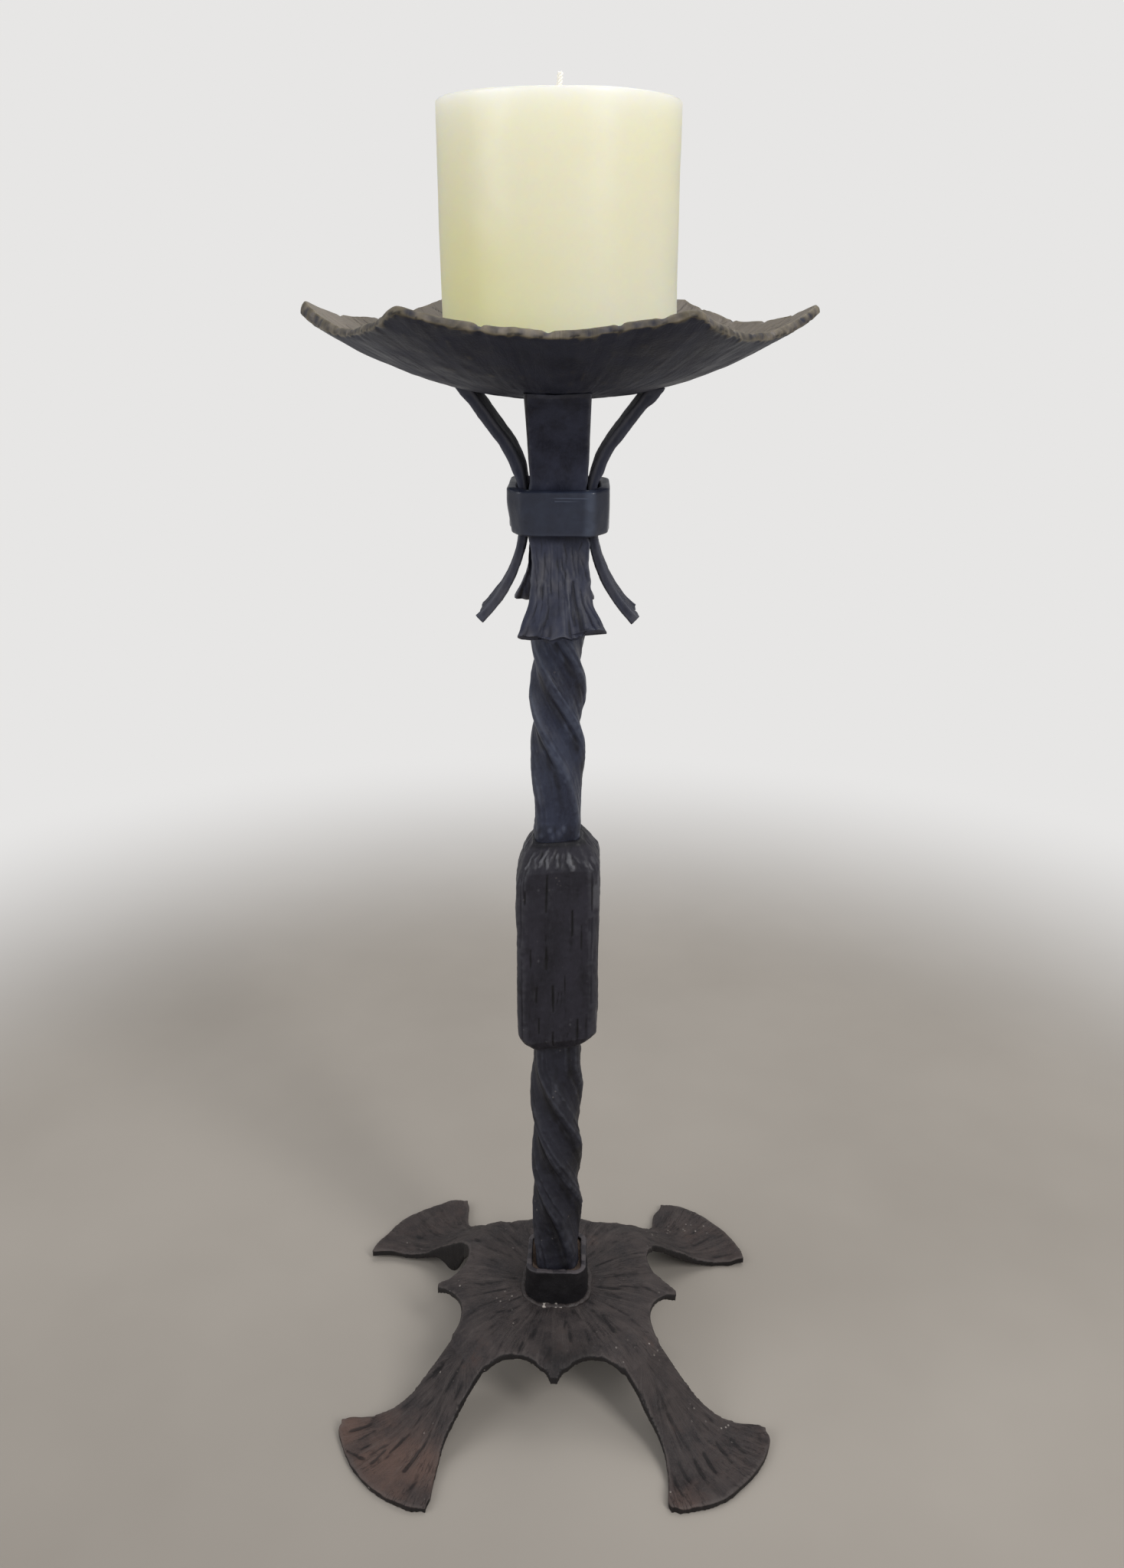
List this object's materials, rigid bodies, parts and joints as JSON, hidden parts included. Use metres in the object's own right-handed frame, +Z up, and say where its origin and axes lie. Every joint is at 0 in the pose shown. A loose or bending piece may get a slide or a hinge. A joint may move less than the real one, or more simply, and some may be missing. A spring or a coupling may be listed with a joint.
{
  "type": "torchere candle stand",
  "caption": "Tall forged candle stand: twisted square shaft on an arched plate with legs, carrying a dished hexagonal drip pan with a lift-off pillar candle.",
  "frame": {"origin": "on the floor under the shaft's axis, in the middle of the base plate's footprint", "axes": "+Z up along the shaft; -Y is the front, where a spur of the base and one face of the shaft look at the viewer; the four legs run out on the diagonals"},
  "size_m": [0.2344, 0.2344, 0.652],
  "materials": {
    "forged_base": "forged, blackened, slightly rusty brown, waxed satin",
    "forged_iron": "forged and chiselled, blackened, satin",
    "forged_strip": "forged, burnished grey on the ridges, satin",
    "smooth_band": "filed smooth, blue-black satin",
    "fixing_steel": "plain dull steel",
    "candle_wax": "smooth ivory wax, semi-gloss, slightly translucent",
    "wick_cotton": "braided cotton, waxed"
  },
  "bodies": {
    "stand": {"base_plate": "forged_base", "base_collar": "forged_iron", "foot_washer": "fixing_steel", "foot_nut": "fixing_steel", "lower_bar": "forged_iron", "middle_block": "forged_iron", "upper_bar": "forged_iron", "strip_front": "forged_strip", "strip_back": "forged_strip", "strip_left": "forged_strip", "strip_right": "forged_strip", "band_collar": "smooth_band", "drip_pan": "forged_iron", "pricket": "fixing_steel"},
    "candle_body": {"candle": "candle_wax", "wick": "wick_cotton"}
  },
  "joints": [
    {"name": "candle_lift", "type": "slide", "parent": "stand", "child": "candle_body", "axis": [0, 0, 1], "range_m": [0, 0.12]}
  ]
}
